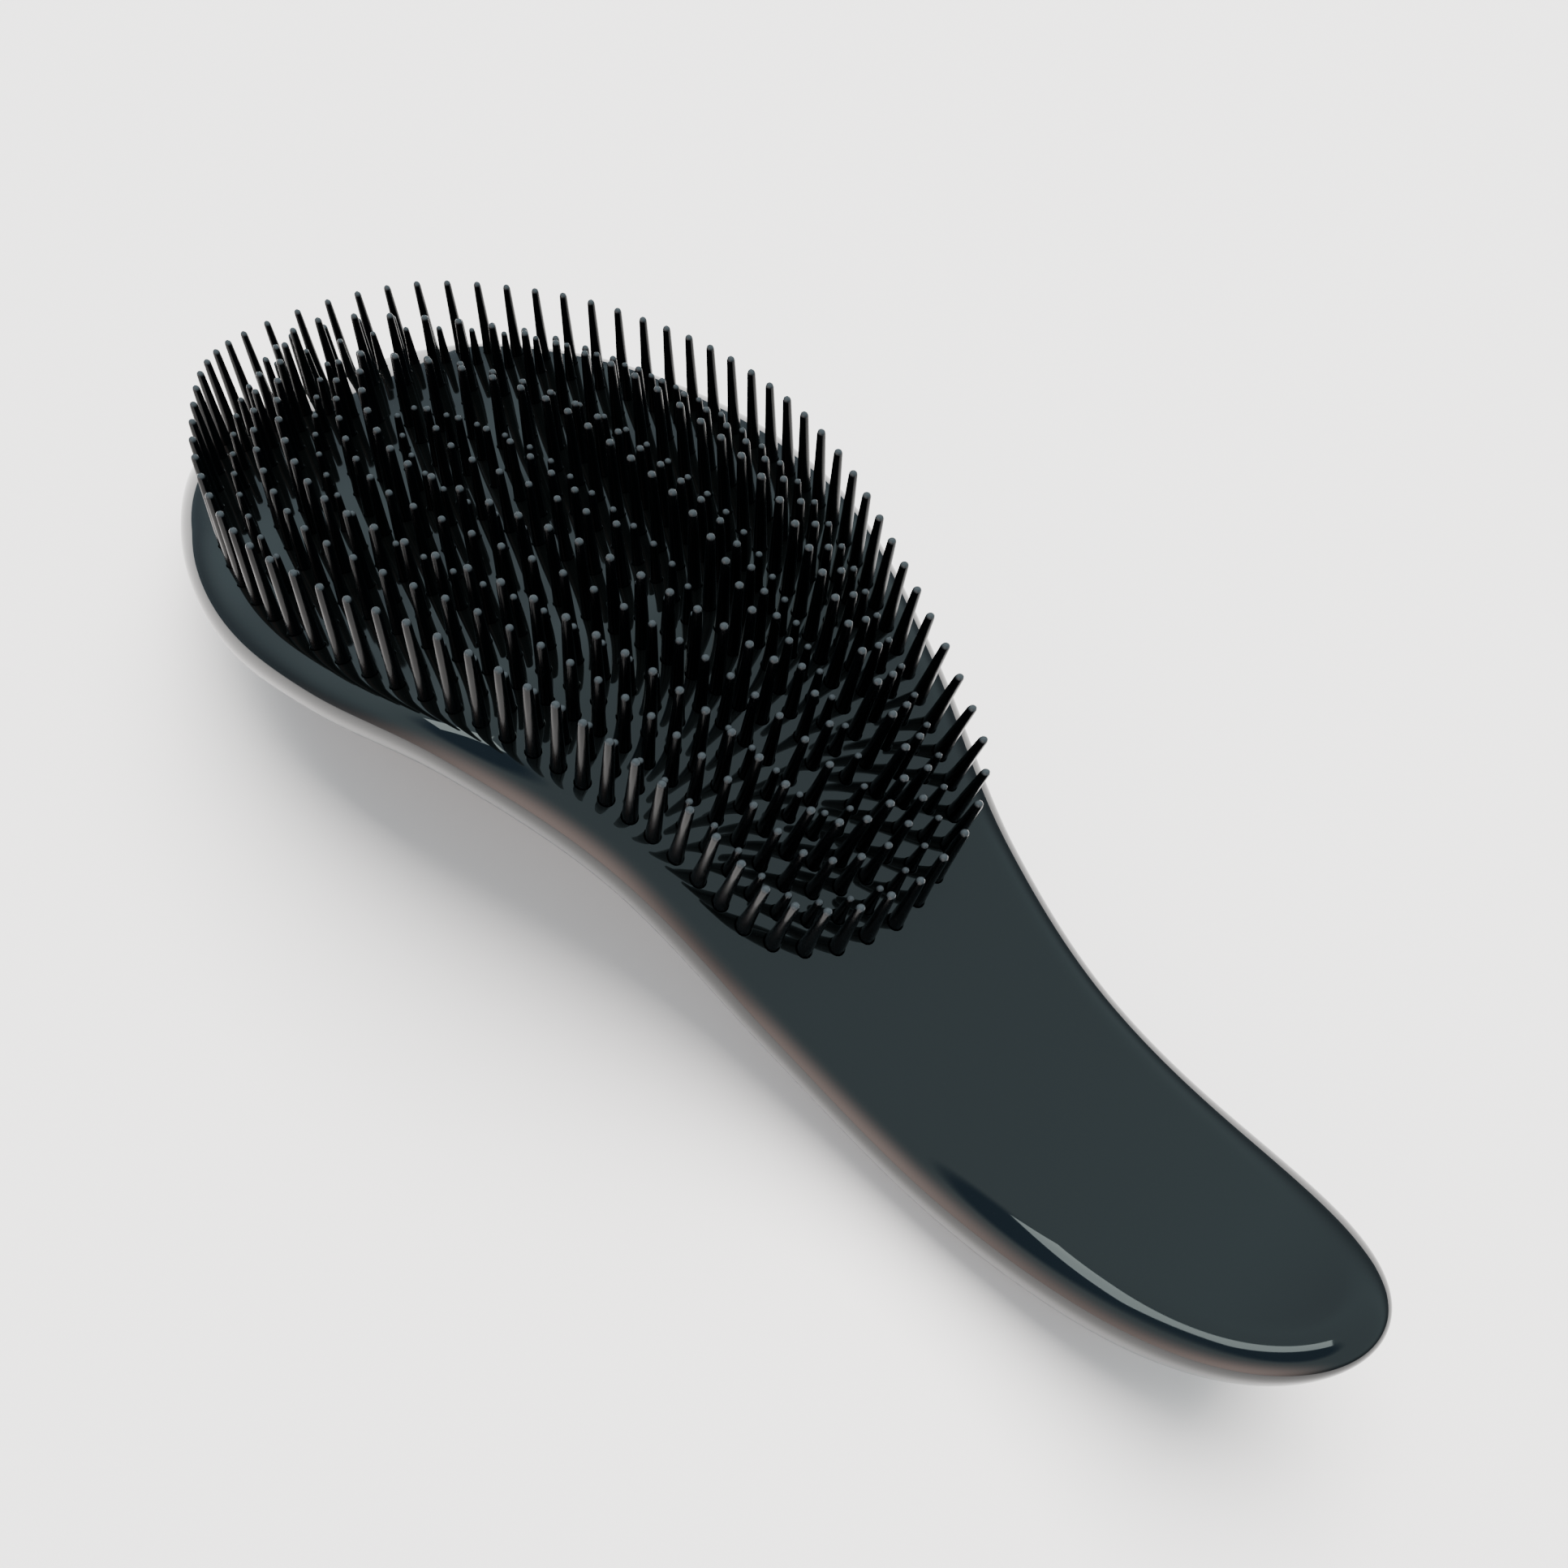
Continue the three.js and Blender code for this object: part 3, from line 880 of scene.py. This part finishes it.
def make_room():
    world = bpy.data.worlds.new("room")
    bpy.context.scene.world = world
    world.use_nodes = True
    tree = world.node_tree
    tree.nodes.clear()
    look = add_node(tree, "ShaderNodeTexCoord").outputs["Generated"]
    height = add_node(tree, "ShaderNodeSeparateXYZ", None, {"Vector": look}).outputs["Z"]
    walls = add_node(tree, "ShaderNodeMapRange",
                     {"From Min": CEILING_FADE[0], "From Max": CEILING_FADE[1]},
                     {"Value": height}, interpolation_type="SMOOTHSTEP")
    grey = add_node(tree, "ShaderNodeMix", {"A": WALL_GLOW, "B": CEILING_GLOW},
                    {"Factor": walls.outputs["Result"]}, data_type="RGBA")
    beside = add_node(tree, "ShaderNodeVectorMath", {1: direction(*WARM_SIDE)}, {0: look},
                      operation="DOT_PRODUCT")
    spread = add_node(tree, "ShaderNodeMapRange",
                      {"From Min": WARM_REACH, "From Max": 1.0},
                      {"Value": beside.outputs["Value"]})
    fading = add_node(tree, "ShaderNodeMath", {1: WARM_POWER}, {0: spread.outputs["Result"]},
                      operation="POWER")
    lit = add_node(tree, "ShaderNodeMix", {"B": WARM_GLOW},
                   {"Factor": fading.outputs[0], "A": grey.outputs["Result"]},
                   data_type="RGBA")
    near = add_node(tree, "ShaderNodeVectorMath", {1: direction(*DIM_SIDE)}, {0: look},
                    operation="DOT_PRODUCT")
    dim = add_node(tree, "ShaderNodeMapRange",
                   {"From Min": DIM_FADE[0], "From Max": DIM_FADE[1]},
                   {"Value": near.outputs["Value"]}, interpolation_type="SMOOTHSTEP")
    colour = add_node(tree, "ShaderNodeMix", {"B": DIM_GLOW},
                      {"Factor": dim.outputs["Result"], "A": lit.outputs["Result"]},
                      data_type="RGBA")
    glow = add_node(tree, "ShaderNodeBackground", {"Strength": 1.0},
                    {"Color": colour.outputs["Result"]})
    add_node(tree, "ShaderNodeOutputWorld", None, {"Surface": glow.outputs["Background"]})


make_room()
print("room made")


# %% Lights
def add_light(name, start, end, width, radiance, colour, mirrored=True):
    """A strip of light from one place to another that faces the brush, given how bright
    its surface looks."""
    deselect()
    bpy.ops.object.light_add(type="AREA")
    light = bpy.context.object
    light.name = name
    middle = (start + end) / 2
    along = (end - start).normalized()
    back = (middle - along * middle.dot(along)).normalized()
    turn = Matrix((along, back.cross(along), back)).transposed().to_4x4()
    light.matrix_world = Matrix.Translation(middle) @ turn
    light.data.shape = "RECTANGLE"
    light.data.size, light.data.size_y = (end - start).length, width
    light.data.energy = radiance * math.pi * light.data.size * width
    light.data.color = colour
    light.visible_camera = False
    light.visible_glossy = mirrored
    return light


ROOM_REACH = 2.0
OVERHEAD_ENDS = (direction(-140, 62) * ROOM_REACH, direction(-20, 62) * ROOM_REACH)
WINDOW_ENDS = (direction(17, 47) * ROOM_REACH, direction(-22, 62) * ROOM_REACH)
OVERHEAD = {"width": 1.8, "radiance": 14, "colour": (1, 0.97, 0.95)}
WINDOW = {"width": 0.42, "radiance": 4.4, "colour": (0.86, 1, 0.96)}
add_light("overhead", *OVERHEAD_ENDS, **OVERHEAD, mirrored=False)
add_light("window", *WINDOW_ENDS, **WINDOW)
print("two lights")

# %% Join the pieces to the frame
for piece, node, slot in ((face_shell, "front_body", "gloss_body"),
                          (back_cover, "back_shell", "gloss_body"),
                          (pin_mat, "bristle_mat", "nylon_pins")):
    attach(piece, "root")
    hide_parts(node)
